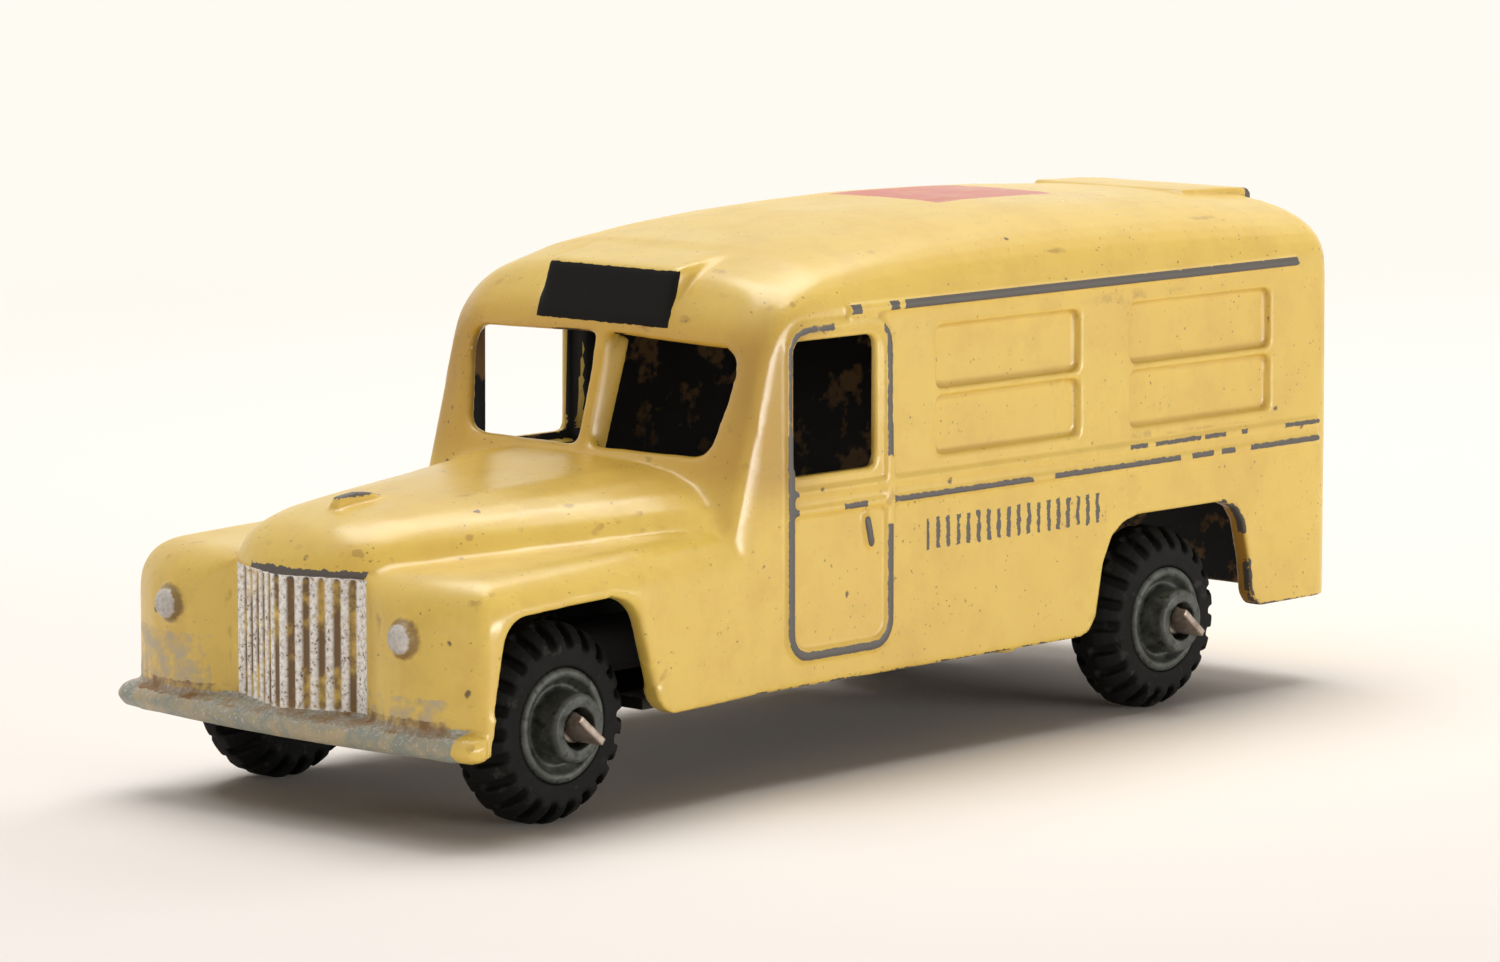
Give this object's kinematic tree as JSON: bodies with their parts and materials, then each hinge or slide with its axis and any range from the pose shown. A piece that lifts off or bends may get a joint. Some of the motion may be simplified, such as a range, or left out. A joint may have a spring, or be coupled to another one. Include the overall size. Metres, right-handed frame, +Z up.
{
  "type": "toy ambulance",
  "caption": "Die-cast toy ambulance with a hollow enamelled body, a pressed base plate and free-rolling wheels with knobbly tyres on wire axles.",
  "frame": {"origin": "on the ground under the middle of the vehicle's box", "axes": "+X towards the bonnet, +Y to the vehicle's left side, +Z up"},
  "size_m": [0.096, 0.0356, 0.0383],
  "materials": {
    "body_enamel": "worn gloss enamel on cast zinc",
    "base_enamel": "black enamel on pressed tin",
    "axle_steel": "dull wire",
    "hub_grey": "satin grey-green",
    "tyre_black": "matt black"
  },
  "bodies": {
    "body": {"body_casting": "body_enamel", "base_plate": "base_enamel"},
    "front_axle_body": {"front_axle": "axle_steel"},
    "rear_axle_body": {"rear_axle": "axle_steel"},
    "front_left_wheel": {"front_left_hub": "hub_grey", "front_left_tyre": "tyre_black"},
    "front_right_wheel": {"front_right_hub": "hub_grey", "front_right_tyre": "tyre_black"},
    "rear_left_wheel": {"rear_left_hub": "hub_grey", "rear_left_tyre": "tyre_black"},
    "rear_right_wheel": {"rear_right_hub": "hub_grey", "rear_right_tyre": "tyre_black"}
  },
  "joints": [
    {"name": "front_axle_spin", "type": "hinge", "parent": "body", "child": "front_axle_body", "pos_m": [0.0353, 0, 0.0068], "axis": [0, 1, 0], "continuous": true},
    {"name": "rear_axle_spin", "type": "hinge", "parent": "body", "child": "rear_axle_body", "pos_m": [-0.02795, 0, 0.0068], "axis": [0, 1, 0], "continuous": true},
    {"name": "front_left_wheel_spin", "type": "hinge", "parent": "front_axle_body", "child": "front_left_wheel", "pos_m": [0.0353, 0.0127, 0.0068], "axis": [0, 1, 0], "continuous": true},
    {"name": "front_right_wheel_spin", "type": "hinge", "parent": "front_axle_body", "child": "front_right_wheel", "pos_m": [0.0353, -0.0127, 0.0068], "axis": [0, 1, 0], "continuous": true},
    {"name": "rear_left_wheel_spin", "type": "hinge", "parent": "rear_axle_body", "child": "rear_left_wheel", "pos_m": [-0.02795, 0.0127, 0.0068], "axis": [0, 1, 0], "continuous": true},
    {"name": "rear_right_wheel_spin", "type": "hinge", "parent": "rear_axle_body", "child": "rear_right_wheel", "pos_m": [-0.02795, -0.0127, 0.0068], "axis": [0, 1, 0], "continuous": true}
  ]
}
